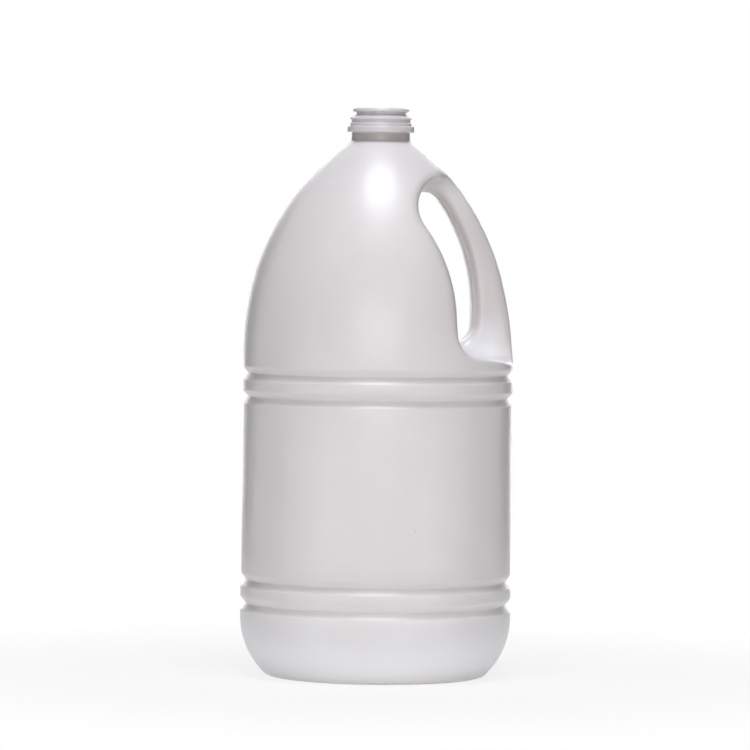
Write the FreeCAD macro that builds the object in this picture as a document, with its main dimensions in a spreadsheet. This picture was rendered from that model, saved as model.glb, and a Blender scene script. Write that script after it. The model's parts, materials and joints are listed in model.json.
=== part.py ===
"""A five litre blow-moulded jug with a hollow handle, as a parametric document.

The jug is one thin wall all round: an outer form less the same form set in by the wall. Each form is a
turned profile (base, panel, shoulder) with a recess pressed in on both sides of the grip, a finger hole
through the web that is left, and rounded edges. The neck has a bore, a flange and two beads for a push-on cap.

Frame: millimetres, origin at the centre of the standing plane, +Z up through the neck, +X to the handle.
The mould parts in the plane y = 0.
"""
import FreeCAD, Part
import math
import os

import Sketcher
from FreeCAD import Vector

CLOSE = 1e-3
ON_AXIS = "0"

# Name, value and meaning. Lengths in mm, angles in degrees.
DRIVING = (
    ("wall", 0.9, "wall of the body and the handle"),
    ("jug_radius", 82.0, "outside radius of the body"),
    ("push_radius", 50.0, "radius of the raised middle of the base"),
    ("push_height", 4.0, "rise of the middle of the base"),
    ("push_round", 2.5, "rounding of the raised middle"),
    ("stand_inner", 59.0, "inner radius of the standing ring"),
    ("stand_round", 6.0, "rounding outside the standing ring"),
    ("chime_radius", 48.0, "radius of the curve from panel to base"),
    ("chime_top", 36.0, "height where that curve starts"),
    ("groove_start", 4.65, "from the top of that curve to the lowest groove"),
    ("groove_pitch", 14.2, "from one groove of a pair to the next, middle to middle"),
    ("groove_depth", 3.2, "depth of a groove"),
    ("groove_width", 7.5, "width of a groove at the surface"),
    ("groove_floor_round", 1.3, "rounding in a groove"),
    ("groove_crest_round", 1.6, "rounding at the edges of a groove"),
    ("panel_height", 103.4, "from the lower pair of grooves to the upper pair"),
    ("panel_inset", 0.4, "how far the panel between the pairs stands in"),
    ("shoulder_gap", 6.95, "from the top groove to the foot of the shoulder"),
    ("shoulder_low_radius", 190.0, "radius of the lower shoulder curve"),
    ("shoulder_low_height", 39.35, "height of the lower shoulder curve"),
    ("shoulder_high_radius", 147.5, "radius of the upper shoulder curve"),
    ("neck_radius", 17.8, "outside radius of the neck under the flange"),
    ("neck_height", 5.1, "height of the neck under the flange"),
    ("neck_round", 3.0, "rounding from shoulder to neck"),
    ("bore_radius", 13.25, "radius of the bore"),
    ("bore_drop", 1.0, "how far the bore runs on below the flange"),
    ("throat_radius", 15.3, "radius where the cone below the bore meets the shoulder"),
    ("flange_radius", 20.5, "radius of the flange"),
    ("flange_height", 3.7, "height of the flange"),
    ("flange_round", 0.6, "rounding of the flange"),
    ("bead_radius", 18.85, "radius of the two beads that hold a cap"),
    ("bead_round", 0.25, "rounding of the beads and the lip"),
    ("bead_low_height", 1.7, "height of the lower bead"),
    ("bead_low_slope", 0.7, "height of the slope above the lower bead"),
    ("gutter_radius", 18.05, "radius between the beads"),
    ("gutter_height", 1.4, "height between the beads"),
    ("bead_high_slope", 0.5, "height of the slope under the upper bead"),
    ("bead_high_height", 0.7, "height of the upper bead"),
    ("lead_height", 2.4, "height of the cone over the upper bead"),
    ("undercut_radius", 14.75, "radius of the undercut below the lip"),
    ("undercut_height", 0.5, "height of the undercut"),
    ("lip_radius", 17.25, "radius of the lip"),
    ("lip_slope", 1.1, "height of the slope under the lip"),
    ("lip_height", 1.1, "height of the lip"),
    ("lip_face", 16.5, "outer radius of the lip's top face"),
    ("lip_chamfer", 0.8, "height of the chamfer on the lip"),
    ("recess_depth", 48.5, "from the shoulder to the recess's inner wall"),
    ("recess_rise", 23.6, "from the foot of the shoulder to the centre of the inner wall's curve"),
    ("recess_angle", 34.0, "angle of that curve, up to the recess's top"),
    ("recess_top_round", 17.0, "radius of the recess's top"),
    ("ledge_land", 2.1, "from the top groove to the ledge's outer edge"),
    ("ledge_corner", 14.0, "radius between ledge and inner wall"),
    ("ledge_slope", 7.0, "fall of the ledge towards the outside"),
    ("grip_width", 22.0, "width of the grip across the parting plane"),
    ("grip_depth", 23.4, "depth of the grip where it stands in the most"),
    ("grip_rise", 27.6, "from the foot of the shoulder to that place"),
    ("hole_step", 0.8, "how far the finger hole stands off the inner wall"),
    ("hole_top_round", 13.0, "radius of the finger hole's top"),
    ("hole_foot_rise", 20.8, "from the foot of the shoulder to the centre of the finger hole's foot"),
    ("root_round", 14.5, "rounding from the grip to the ledge"),
    ("crown_round", 8.0, "rounding from the grip to the recess, above the ledge"),
    ("ledge_round", 1.7, "rounding of the ledge's outer edge"),
    ("ledge_round_inside", 0.3, "rounding of the same edge inside the wall"),
    ("rim_round", 8.0, "rounding of the recess's other outer edges"),
    ("grip_round", 10.0, "rounding of the grip's outer edges"),
    ("hole_round", 4.5, "rounding of the finger hole's edges"),
)

# Name and formula: what follows from the driving sizes and holds for both forms.
WORKED_OUT = (
    ("push_run", "stand_inner - push_radius"),
    ("push_lean", "(sqrt(push_run^2 + push_height^2) - push_run) / push_height"),
    ("chime_centre", "jug_radius - chime_radius"),
    ("groove_half", "groove_width / 2"),
    ("groove_lean", "sqrt(1 + (groove_depth / groove_half)^2)"),
    ("groove_open", "(groove_lean - 1) * groove_half / groove_depth"),
    ("foot_low_level", "chime_top + groove_start + groove_half"),
    ("foot_high_level", "foot_low_level + groove_pitch"),
    ("top_low_level", "foot_high_level + groove_width + panel_height"),
    ("top_high_level", "top_low_level + groove_pitch"),
    ("groove_end", "top_high_level + groove_half"),
    ("shoulder_start", "groove_end + shoulder_gap"),
    ("bend_sine", "shoulder_low_height / shoulder_low_radius"),
    ("bend_cosine", "sqrt(1 - bend_sine^2)"),
    ("bend_level", "shoulder_start + shoulder_low_height"),
    ("low_centre", "jug_radius - shoulder_low_radius"),
    ("high_centre", "low_centre + (shoulder_low_radius - shoulder_high_radius) * bend_cosine"),
    ("high_level", "shoulder_start + (shoulder_low_radius - shoulder_high_radius) * bend_sine"),
    ("neck_root", "high_level + sqrt(shoulder_high_radius^2 - (neck_radius - high_centre)^2)"),
    ("flange_low", "neck_root + neck_height"),
    ("flange_high", "flange_low + flange_height"),
    ("bead_low_top", "flange_high + bead_low_height"),
    ("gutter_low", "bead_low_top + bead_low_slope"),
    ("gutter_high", "gutter_low + gutter_height"),
    ("bead_high_low", "gutter_high + bead_high_slope"),
    ("bead_high_top", "bead_high_low + bead_high_height"),
    ("undercut_low", "bead_high_top + lead_height"),
    ("undercut_high", "undercut_low + undercut_height"),
    ("lip_low", "undercut_high + lip_slope"),
    ("lip_high", "lip_low + lip_height"),
    ("jug_height", "lip_high + lip_chamfer"),
    ("bore_low", "flange_low - bore_drop"),
    ("over_height", "jug_height + flange_height"),
    ("beyond", "jug_radius + recess_top_round"),
    ("inner_radius", "shoulder_high_radius - recess_depth"),
    ("inner_level", "shoulder_start + recess_rise"),
    ("inner_face", "high_centre + inner_radius"),
    ("ledge_centre", "inner_face + ledge_corner"),
    ("ledge_edge", "groove_end + ledge_land"),
    ("ledge_floor", "ledge_edge + (jug_radius - ledge_centre) * tan(ledge_slope)"),
    ("ledge_level", "ledge_floor + ledge_corner / cos(ledge_slope)"),
    ("recess_top_centre", "high_centre + (inner_radius + recess_top_round) * cos(recess_angle)"),
    ("recess_top_level", "inner_level + (inner_radius + recess_top_round) * sin(recess_angle)"),
    ("hole_radius", "inner_radius + hole_step"),
    ("hole_top_centre", "high_centre + (hole_radius + hole_top_round) * cos(recess_angle)"),
    ("hole_top_level", "inner_level + (hole_radius + hole_top_round) * sin(recess_angle)"),
    ("grip_level", "shoulder_start + grip_rise"),
    ("grip_face", "jug_radius - grip_depth"),
    ("grip_reach", "hole_top_centre - grip_face"),
    ("grip_climb", "hole_top_level - grip_level"),
    ("grip_turn", "hole_top_round^2 - grip_reach^2 - grip_climb^2"),
    ("grip_radius", "grip_turn / (2 * (grip_reach + hole_top_round))"),
    ("grip_centre", "grip_face - grip_radius"),
    ("grip_top_cosine", "(hole_top_centre - grip_centre) / (grip_radius - hole_top_round)"),
    ("grip_top_sine", "grip_climb / (grip_radius - hole_top_round)"),
    ("hole_foot_level", "shoulder_start + hole_foot_rise"),
    ("hole_side", "high_centre + hole_radius"),
    ("foot_reach", "hole_side - grip_centre"),
    ("foot_drop", "grip_level - hole_foot_level"),
    ("foot_turn", "grip_radius^2 - foot_reach^2 - foot_drop^2"),
    ("hole_foot_round", "foot_turn / (2 * (grip_radius + foot_reach))"),
    ("hole_foot_centre", "hole_side + hole_foot_round"),
    ("grip_foot_cosine", "(hole_foot_centre - grip_centre) / (grip_radius - hole_foot_round)"),
    ("grip_foot_sine", "foot_drop / (grip_radius - hole_foot_round)"),
)

doc = FreeCAD.newDocument("jug")
sheet = doc.addObject("Spreadsheet::Sheet", "sizes")
cells = []


def add_cell(name, content, meaning=""):
    """Writes a row of the sheet: the name, the value or formula that the name stands for, and its meaning."""
    cells.append(name)
    row = len(cells)
    sheet.set(f"A{row}", name)
    sheet.set(f"B{row}", content)
    sheet.set(f"C{row}", meaning)
    sheet.setAlias(f"B{row}", name)


def size(name):
    return float(sheet.get(name))


def base_steps(skin):
    """The profile from the middle of the base to the top of the chime, set in by the skin."""
    return [
        ("push_middle", ON_AXIS, f"push_height + {skin}", None),
        ("push_edge", f"push_radius + {skin} * push_lean", f"push_height + {skin}", None),
        ("stand_edge", f"stand_inner + {skin} * push_lean", f"0 + {skin}", None),
        (
            "chime_foot",
            f"chime_centre + sqrt((chime_radius - {skin})^2 - (chime_top - {skin})^2)",
            f"0 + {skin}",
            None,
        ),
        ("chime_end", f"jug_radius - {skin}", "chime_top", f"chime_radius - {skin}"),
    ]


def groove_steps(groove, skin, under_inset, over_inset):
    """A V-shaped groove, from its lower edge to its upper edge, with the panel's inset on one side."""
    half = f"(groove_half + {skin} * groove_open)"
    floor = f"jug_radius - groove_depth - {skin} * groove_lean"
    return [
        (f"{groove}_under", f"jug_radius - {under_inset} - {skin}", f"{groove}_level - {half}", None),
        (f"{groove}_floor", floor, f"{groove}_level", None),
        (f"{groove}_over", f"jug_radius - {over_inset} - {skin}", f"{groove}_level + {half}", None),
    ]


def shoulder_steps(skin, neck):
    """The two curves of the shoulder, up to the neck or the throat."""
    low = f"(shoulder_low_radius - {skin})"
    high = f"(shoulder_high_radius - {skin})"
    return [
        ("shoulder_foot", f"jug_radius - {skin}", "shoulder_start", None),
        ("shoulder_bend", f"low_centre + {low} * bend_cosine", f"shoulder_start + {low} * bend_sine", low),
        ("shoulder_top", neck, f"high_level + sqrt({high}^2 - ({neck} - high_centre)^2)", high),
    ]


def finish_steps():
    """The neck's outside: flange, two beads for a cap, undercut and lip."""
    return [
        ("neck_top", "neck_radius", "flange_low", None),
        ("flange_under", "flange_radius", "flange_low", None),
        ("flange_over", "flange_radius", "flange_high", None),
        ("bead_low_foot", "bead_radius", "flange_high", None),
        ("bead_low_edge", "bead_radius", "bead_low_top", None),
        ("gutter_foot", "gutter_radius", "gutter_low", None),
        ("gutter_end", "gutter_radius", "gutter_high", None),
        ("bead_high_foot", "bead_radius", "bead_high_low", None),
        ("bead_high_edge", "bead_radius", "bead_high_top", None),
        ("undercut_foot", "undercut_radius", "undercut_low", None),
        ("undercut_end", "undercut_radius", "undercut_high", None),
        ("lip_foot", "lip_radius", "lip_low", None),
        ("lip_edge", "lip_radius", "lip_high", None),
        ("lip_top", "lip_face", "jug_height", None),
        ("top_middle", ON_AXIS, "jug_height", None),
    ]


def bore_steps():
    """The neck's inside: a cone from the shoulder to the bore, which runs out past the lip."""
    return [
        ("bore_foot", "bore_radius", "bore_low", None),
        ("bore_end", "bore_radius", "over_height", None),
        ("top_middle", ON_AXIS, "over_height", None),
    ]


def recess_steps(skin):
    """The recess seen along Y: ledge, corner, inner wall and top, run out past the shoulder."""
    corner = f"(ledge_corner + {skin})"
    inner = f"(inner_radius - {skin})"
    top = f"(recess_top_round + {skin})"
    foot_x = f"(ledge_centre - {corner} * sin(ledge_slope))"
    foot_z = f"ledge_level - {corner} * cos(ledge_slope)"
    inner_x = f"high_centre + {inner} * cos(recess_angle)"
    inner_z = f"inner_level + {inner} * sin(recess_angle)"
    return [
        ("ledge_far", "beyond", f"{foot_z} - (beyond - {foot_x}) * tan(ledge_slope)", None),
        ("ledge_foot", foot_x, foot_z, None),
        ("corner_end", f"inner_face - {skin}", "ledge_level", f"-{corner}"),
        ("inner_foot", f"inner_face - {skin}", "inner_level", None),
        ("inner_end", inner_x, inner_z, inner),
        ("top_side", f"recess_top_centre - {top}", "recess_top_level", f"-{top}"),
        ("top_end", "recess_top_centre", f"recess_top_level + {top}", f"-{top}"),
        ("top_far", "beyond", f"recess_top_level + {top}", None),
    ]


def hole_steps(skin):
    """The finger hole seen along Y: its side at the wall, its top, the grip's inner face and its foot."""
    side = f"(hole_radius - {skin})"
    top = f"(hole_top_round + {skin})"
    grip = f"(grip_radius + {skin})"
    foot = f"(hole_foot_round + {skin})"
    side_x = f"high_centre + {side} * cos(recess_angle)"
    side_z = f"inner_level + {side} * sin(recess_angle)"
    grip_top = (f"grip_centre + {grip} * grip_top_cosine", f"grip_level + {grip} * grip_top_sine")
    grip_foot = (f"grip_centre + {grip} * grip_foot_cosine", f"grip_level - {grip} * grip_foot_sine")
    return [
        ("side_foot", f"high_centre + {side}", "inner_level", None),
        ("side_end", side_x, side_z, side),
        ("hole_side", f"hole_top_centre - {top}", "hole_top_level", f"-{top}"),
        ("hole_top", "hole_top_centre", f"hole_top_level + {top}", f"-{top}"),
        ("grip_top", *grip_top, f"-{top}"),
        ("grip_foot", *grip_foot, f"-{grip}"),
        ("hole_foot", "hole_foot_centre", f"hole_foot_level - {foot}", f"-{foot}"),
        ("foot_side", f"hole_foot_centre - {foot}", "hole_foot_level", f"-{foot}"),
    ]


def plane_of(body, role):
    return next(part for part in body.Origin.OriginFeatures if part.Role == role)


def angle_of(point, centre):
    return math.atan2(point.y - centre.y, point.x - centre.x)


def arc_between(start, end, radius, turn):
    """The short arc between two points. Turn is 1 anticlockwise and -1 clockwise."""
    chord = end - start
    side = Vector(-chord.y, chord.x, 0).normalize()
    centre = (start + end) * 0.5 + side * (turn * math.sqrt(radius**2 - (chord.Length / 2) ** 2))
    low, high = (start, end) if turn == 1 else (end, start)
    circle = Part.Circle(centre, Vector(0, 0, 1), radius)
    return Part.ArcOfCircle(circle, angle_of(low, centre), angle_of(high, centre))


def bind(sketch, constraint, cell):
    """Adds a constraint whose size is a cell of the sheet."""
    number = sketch.addConstraint(constraint)
    sketch.renameConstraint(number, cell)
    sketch.setExpression(f"Constraints.{cell}", f"sizes.{cell}")


def fix_corner(sketch, edge, end, x_cell, z_cell):
    """Ties one end of an edge to its two cells, or to the axis."""
    bind(sketch, Sketcher.Constraint("DistanceY", edge, end, size(z_cell)), z_cell)
    if x_cell == ON_AXIS:
        sketch.addConstraint(Sketcher.Constraint("PointOnObject", edge, end, -2))
    else:
        bind(sketch, Sketcher.Constraint("DistanceX", edge, end, size(x_cell)), x_cell)


def draw(body, name, steps):
    """A closed outline on the body's XZ plane, with its corners and radii in cells of the sheet.

    A step is (corner, x, z, radius): the formulas of a corner and of the arc that arrives there, or None
    for a straight line. The radius of an arc that turns clockwise has a minus sign before it.
    """
    corners = []
    for corner, x, z, radius in steps:
        x_cell = ON_AXIS if x == ON_AXIS else f"{name}_{corner}_x"
        z_cell = f"{name}_{corner}_z"
        if x != ON_AXIS:
            add_cell(x_cell, "=" + x)
        add_cell(z_cell, "=" + z)
        if radius:
            add_cell(f"{name}_{corner}_radius", "=" + radius.lstrip("-"))
        corners.append((x_cell, z_cell))
    doc.recompute()
    points = [Vector(0 if x == ON_AXIS else size(x), size(z), 0) for x, z in corners]

    sketch = body.newObject("Sketcher::SketchObject", name)
    sketch.AttachmentSupport = [(plane_of(body, "XZ_Plane"), "")]
    sketch.MapMode = "FlatFace"
    ends = []
    for number, (corner, _, _, radius) in enumerate(steps):
        start, end = points[number - 1], points[number]
        turn = -1 if radius and radius.startswith("-") else 1
        ends.append((1, 2) if turn == 1 else (2, 1))
        if radius:
            sketch.addGeometry(arc_between(start, end, size(f"{name}_{corner}_radius"), turn))
        else:
            sketch.addGeometry(Part.LineSegment(start, end))
    for number, (corner, _, _, radius) in enumerate(steps):
        following = (number + 1) % len(steps)
        joint = Sketcher.Constraint("Coincident", number, ends[number][1], following, ends[following][0])
        sketch.addConstraint(joint)
        fix_corner(sketch, number, ends[number][1], *corners[number])
        if radius:
            cell = f"{name}_{corner}_radius"
            bind(sketch, Sketcher.Constraint("Radius", number, size(cell)), cell)
    doc.recompute()
    return sketch


def round_rings(body, profile, corners, radius):
    """Rounds the rings that the named corners of a profile leave on the turned form."""
    base = body.Tip
    rings = []
    for number, edge in enumerate(base.Shape.Edges, 1):
        for corner in corners:
            middle = Vector(0, 0, size(f"{profile}_{corner}_z"))
            ring = edge.Curve
            if isinstance(ring, Part.Circle) and (ring.Center - middle).Length < CLOSE:
                if abs(ring.Radius - size(f"{profile}_{corner}_x")) < CLOSE:
                    rings.append(f"Edge{number}")
    fillet = body.newObject("PartDesign::Fillet", f"{profile}_{corners[0]}_round")
    fillet.Base = (base, rings)
    fillet.setExpression("Radius", radius)
    doc.recompute()


def turned_body(profile, skin, neck, top_steps):
    """Turns a profile about Z and rounds the rings that both forms have."""
    steps = base_steps(skin)
    steps += groove_steps("foot_low", skin, "0", "0")
    steps += groove_steps("foot_high", skin, "0", "panel_inset")
    steps += groove_steps("top_low", skin, "panel_inset", "0")
    steps += groove_steps("top_high", skin, "0", "0")
    steps += shoulder_steps(skin, neck)
    steps += top_steps
    body = doc.addObject("PartDesign::Body", f"{profile}_body")
    sketch = draw(body, profile, steps)
    turned = body.newObject("PartDesign::Revolution", f"{profile}_turned")
    turned.Profile = sketch
    turned.ReferenceAxis = (sketch, ["V_Axis"])
    turned.Angle = 360
    doc.recompute()
    grooves = ("foot_low", "foot_high", "top_low", "top_high")
    crests = [f"{groove}_{side}" for groove in grooves for side in ("under", "over")]
    floors = [f"{groove}_floor" for groove in grooves]
    round_rings(body, profile, crests, f"sizes.groove_crest_round - {in_sheet(skin)}")
    round_rings(body, profile, floors, f"sizes.groove_floor_round + {in_sheet(skin)}")
    round_rings(body, profile, ["chime_foot"], f"sizes.stand_round - {in_sheet(skin)}")
    round_rings(body, profile, ["push_edge"], f"sizes.push_round + {in_sheet(skin)}")
    return body


def in_sheet(skin):
    """The skin as an object's expression names it."""
    return skin if skin == "0" else f"sizes.{skin}"


def cut_recess(body, profile, skin):
    """Presses the recess into the front, down to the grip's flank, and mirrors it to the back."""
    before = body.Tip.Shape.Volume
    sketch = draw(body, f"{profile}_recess", recess_steps(skin))
    sketch.setExpression(".AttachmentOffset.Base.z", f"sizes.grip_width / 2 - {in_sheet(skin)}")
    front = body.newObject("PartDesign::Pocket", f"{profile}_front")
    front.Profile = sketch
    front.Type = "ThroughAll"
    front.Reversed = True
    doc.recompute()
    both = body.newObject("PartDesign::Mirrored", f"{profile}_both")
    both.Originals = [front]
    both.MirrorPlane = (plane_of(body, "XZ_Plane"), [""])
    body.Tip = both
    doc.recompute()
    front_cut = before - front.Shape.Volume
    both_cut = before - both.Shape.Volume
    if front_cut < size("grip_width") ** 3 or abs(both_cut - 2 * front_cut) > CLOSE * both_cut:
        raise RuntimeError(f"{both.Name} does not cut both sides")


def hole_body(profile, skin):
    """The finger hole as a solid that runs out on both sides."""
    body = doc.addObject("PartDesign::Body", f"{profile}_hole_body")
    sketch = draw(body, f"{profile}_hole", hole_steps(skin))
    pad = body.newObject("PartDesign::Pad", f"{profile}_hole_pad")
    pad.Profile = sketch
    pad.SideType = "Symmetric"
    pad.setExpression("Length", "2 * sizes.beyond")
    doc.recompute()
    return body


def passes(face, holds):
    """Whether points on all of a face's edges pass a test."""
    for edge in face.Edges:
        first, last = edge.ParameterRange
        for share in (0.35, 0.65):
            if not holds(edge.valueAt(first + (last - first) * share)):
                return False
    return True


def borders(shape, holds):
    """The edges between a face that passes a test and one that doesn't, by their numbers."""
    passed = {face.hashCode(): passes(face, holds) for face in shape.Faces}
    found = {}
    for number, edge in enumerate(shape.Edges, 1):
        sides = [passed[face.hashCode()] for face in shape.ancestorsOfType(edge, Part.Face)]
        if len(sides) == 2 and sides[0] != sides[1]:
            found[number] = edge
    return found


def on_skin(shape):
    """A test: does a point lie on the outside of a shape?"""
    skin = shape.Shells[0]
    return lambda point: Part.Vertex(point).distToShape(skin)[0] < CLOSE


def ramp(level, low_level, low_radius, high_level, high_radius):
    """A fillet's radius at a level: one radius up to a level, another above a second."""
    share = (level - low_level) / (high_level - low_level)
    return low_radius + (high_radius - low_radius) * min(max(share, 0), 1)


def at_ends(edge, radius):
    """The radii at the two ends of an edge, each worked out from its point."""
    return radius(edge.Vertexes[0].Point), radius(edge.Vertexes[-1].Point)


def part_fillet(name, base, edges):
    """A fillet whose radius may change along its edges: {number: (first radius, last radius)}."""
    fillet = doc.addObject("Part::Fillet", name)
    fillet.Base = base
    fillet.Edges = [(number, first, last) for number, (first, last) in edges.items()]
    doc.recompute()
    return fillet


def round_roots(body, profile, skin, is_shoulder):
    """Blends the grip's flanks into the recess: widest at the ledge."""
    wide = size("root_round") + skin
    narrow = size("crown_round") + skin

    def radius(point):
        return ramp(point.z, size("ledge_edge"), wide, size("inner_level"), narrow)

    flank = size("grip_width") / 2 - skin
    rim = borders(body.Shape, is_shoulder)
    flank_edges = borders(body.Shape, lambda point: abs(abs(point.y) - flank) < CLOSE)
    roots = {number: at_ends(edge, radius) for number, edge in flank_edges.items() if number not in rim}
    return part_fillet(f"{profile}_roots", body, roots)


def round_rims(base, profile, skin, is_shoulder):
    """Rounds the recess's edges on the shoulder: crisp at the ledge, full at the wall and the grip."""
    sharp = size("ledge_round") if skin == 0 else size("ledge_round_inside")
    flank = size("grip_width") / 2 - skin

    def radius(point):
        if abs(abs(point.y) - flank) < CLOSE:
            full, full_level = size("grip_round") - skin, size("bend_level")
        else:
            full, full_level = size("rim_round") - skin, size("inner_level")
        return ramp(point.z, size("shoulder_start"), sharp, full_level, full)

    edges = borders(base.Shape, is_shoulder)
    rims = {number: at_ends(edge, radius) for number, edge in edges.items()}
    return part_fillet(f"{profile}_rims", base, rims)


def cut_hole(base, profile, skin, skin_cell):
    """Cuts the finger hole and rounds its edges."""
    hole = hole_body(profile, skin_cell)
    pierced = doc.addObject("Part::Cut", f"{profile}_pierced")
    pierced.Base = base
    pierced.Tool = hole
    doc.recompute()
    edge_round = size("hole_round") - skin
    edges = borders(pierced.Shape, on_skin(hole.Shape))
    return part_fillet(f"{profile}_form", pierced, {number: (edge_round, edge_round) for number in edges})


def form(profile, skin_cell, neck, top_steps, rings):
    """The outer form or the cavity: turned, recessed, blended, pierced and rounded."""
    skin = 0 if skin_cell == "0" else size(skin_cell)
    body = turned_body(profile, skin_cell, neck, top_steps)
    for corners, radius in rings:
        round_rings(body, profile, corners, radius)
    is_shoulder = on_skin(body.Tip.Shape)
    cut_recess(body, profile, skin_cell)
    roots = round_roots(body, profile, skin, is_shoulder)
    rims = round_rims(roots, profile, skin, is_shoulder)
    return cut_hole(rims, profile, skin, skin_cell)


def make_jug():
    """The outer form less the cavity."""
    neck_rings = (
        (["shoulder_top"], "sizes.neck_round"),
        (["flange_under", "flange_over"], "sizes.flange_round"),
        (["bead_low_edge", "bead_high_foot", "bead_high_edge", "lip_foot", "lip_edge"], "sizes.bead_round"),
    )
    outer = form("outer", "0", "neck_radius", finish_steps(), neck_rings)
    cavity = form("cavity", "wall", "throat_radius", bore_steps(), ())
    jug = doc.addObject("Part::Cut", "jug")
    jug.Label = "jug"
    jug.Base = outer
    jug.Tool = cavity
    doc.recompute()
    return jug


def check_document():
    """Stops at an object that failed without raising."""
    for item in doc.Objects:
        if "Invalid" in item.State or "Error" in item.State:
            raise RuntimeError(f"{item.Name}: {item.State}")


def write(part):
    """Writes a sub-part's single solid to parts/, under its label."""
    shape = part.Shape
    if shape.isNull() or not shape.isValid() or len(shape.Solids) != 1:
        raise RuntimeError(f"{part.Label} is not one valid solid")
    shape.exportStep(f"parts/{part.Label}.step")
    print(f"{part.Label}: {shape.Volume:.0f} mm3 of wall, {shape.Area:.0f} mm2 of surface")


for name, value, meaning in DRIVING:
    add_cell(name, str(value), meaning)
for name, formula in WORKED_OUT:
    add_cell(name, "=" + formula)
doc.recompute()
jug = make_jug()
check_document()
os.makedirs("parts", exist_ok=True)
write(jug)
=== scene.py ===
# %% [markdown]
# # A blow-moulded jug
# The object is a five litre jug, blown in one piece from milky polyethylene: a round body with grooved
# bands, a domed shoulder, a hollow grip that stands in a recess of that shoulder, and an open neck.
# A blow mould has two halves, so everything here is built round the plane where they part, y = 0.
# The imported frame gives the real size. All modelling is done in millimetres and brought to metres at the end.

# %% Load the frame
import json
import math

import bmesh
import bpy
import numpy as np
from mathutils import Matrix, Vector

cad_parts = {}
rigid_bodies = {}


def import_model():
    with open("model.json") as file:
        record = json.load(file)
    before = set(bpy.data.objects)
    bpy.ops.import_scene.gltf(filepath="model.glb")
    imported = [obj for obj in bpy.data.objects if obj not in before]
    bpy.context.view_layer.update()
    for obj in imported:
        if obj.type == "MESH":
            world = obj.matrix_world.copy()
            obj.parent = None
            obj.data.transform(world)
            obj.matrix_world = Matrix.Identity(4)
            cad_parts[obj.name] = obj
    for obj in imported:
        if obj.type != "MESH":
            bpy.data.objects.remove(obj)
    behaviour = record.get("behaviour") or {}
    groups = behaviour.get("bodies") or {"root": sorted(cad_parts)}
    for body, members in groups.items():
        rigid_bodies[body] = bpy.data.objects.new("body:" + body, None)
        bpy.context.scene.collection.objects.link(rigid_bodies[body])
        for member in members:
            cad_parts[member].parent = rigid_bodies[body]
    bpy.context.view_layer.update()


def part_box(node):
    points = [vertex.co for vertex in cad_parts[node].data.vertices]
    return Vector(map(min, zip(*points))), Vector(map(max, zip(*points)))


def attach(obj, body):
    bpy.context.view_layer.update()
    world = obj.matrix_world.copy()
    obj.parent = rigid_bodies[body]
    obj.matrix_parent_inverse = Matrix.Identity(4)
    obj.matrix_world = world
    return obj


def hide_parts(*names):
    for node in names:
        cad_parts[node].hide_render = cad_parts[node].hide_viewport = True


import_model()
high_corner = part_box("jug")[1]
MM = 0.001
JUG_RADIUS = round(high_corner[0] / MM, 1)
JUG_HEIGHT = round(high_corner[2] / MM, 1)
print("jug radius and height in mm:", JUG_RADIUS, JUG_HEIGHT)

# %% [markdown]
# ## The camera
# A long lens from three metres keeps the verticals straight, as in a catalogue picture. The camera stands
# as high as the upper shoulder, so the neck is seen nearly level and the lower bands curve. It is turned so
# that the grip points slightly away, and rolled by less than a degree.

# %% Place the camera
VIEW_AZIMUTH = math.radians(-13)
VIEW_DISTANCE = 3.1
VIEW_HEIGHT = 0.288
VIEW_ROLL = math.radians(-0.70)
AIM_HEIGHT = 0.1824
AIM_SIDE = -0.0018
LENS = 245.5
SENSOR = 36.0

to_camera = Vector((math.sin(VIEW_AZIMUTH), -math.cos(VIEW_AZIMUTH), 0))
to_right = Vector((math.cos(VIEW_AZIMUTH), math.sin(VIEW_AZIMUTH), 0))
camera_place = to_camera * VIEW_DISTANCE + Vector((0, 0, VIEW_HEIGHT))
aim = to_right * AIM_SIDE + Vector((0, 0, AIM_HEIGHT))
camera = bpy.data.objects.new("camera", bpy.data.cameras.new("camera"))
camera.data.lens = LENS
camera.data.sensor_width = SENSOR
camera.data.clip_end = 100
look = (aim - camera_place).to_track_quat("-Z", "Y").to_matrix().to_4x4()
camera.matrix_world = Matrix.Translation(camera_place) @ look @ Matrix.Rotation(-VIEW_ROLL, 4, "Z")
bpy.context.scene.collection.objects.link(camera)
bpy.context.scene.camera = camera
print("camera at", [round(value, 3) for value in camera_place])

# %% [markdown]
# ## Turned parts
# Everything below the shoulder, and the neck, is round, as turned on a lathe. Such a part is drawn as half
# an outline and spun about Z. The outline has only its corners: each corner that the mould rounds is then
# bevelled, by the length at which an arc of the wanted radius touches both lines.

# %% Helpers for turned parts
TURN = 2 * math.pi
COLUMNS = 144
ROUND_STEPS = 4


def arc(centre, radius, first, last, step=4):
    """Points on an arc about a centre, from one angle to another in degrees, ends included."""
    count = max(2, math.ceil(abs(last - first) / step))
    angles = [math.radians(first + (last - first) * number / count) for number in range(count + 1)]
    return [(centre[0] + radius * math.cos(angle), centre[1] + radius * math.sin(angle)) for angle in angles]


def draw_line(corners, closed=False):
    """A chain of edges in the XZ plane. A corner is (x, z), or (x, z, radius) if it is rounded."""
    mesh = bmesh.new()
    points = [mesh.verts.new((corner[0], 0, corner[1])) for corner in corners]
    for first, last in zip(points, points[1:] + points[:1] if closed else points[1:]):
        mesh.edges.new((first, last))
    for point, corner in zip(points, corners):
        if len(corner) == 3:
            before, after = (edge.other_vert(point).co - point.co for edge in point.link_edges)
            reach = corner[2] / math.tan(before.angle(after) / 2)
            bmesh.ops.bevel(
                mesh, geom=[point], offset=reach, offset_type="OFFSET", segments=ROUND_STEPS,
                profile=0.5, affect="VERTICES", clamp_overlap=False, material=-1,
            )
    return mesh


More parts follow.
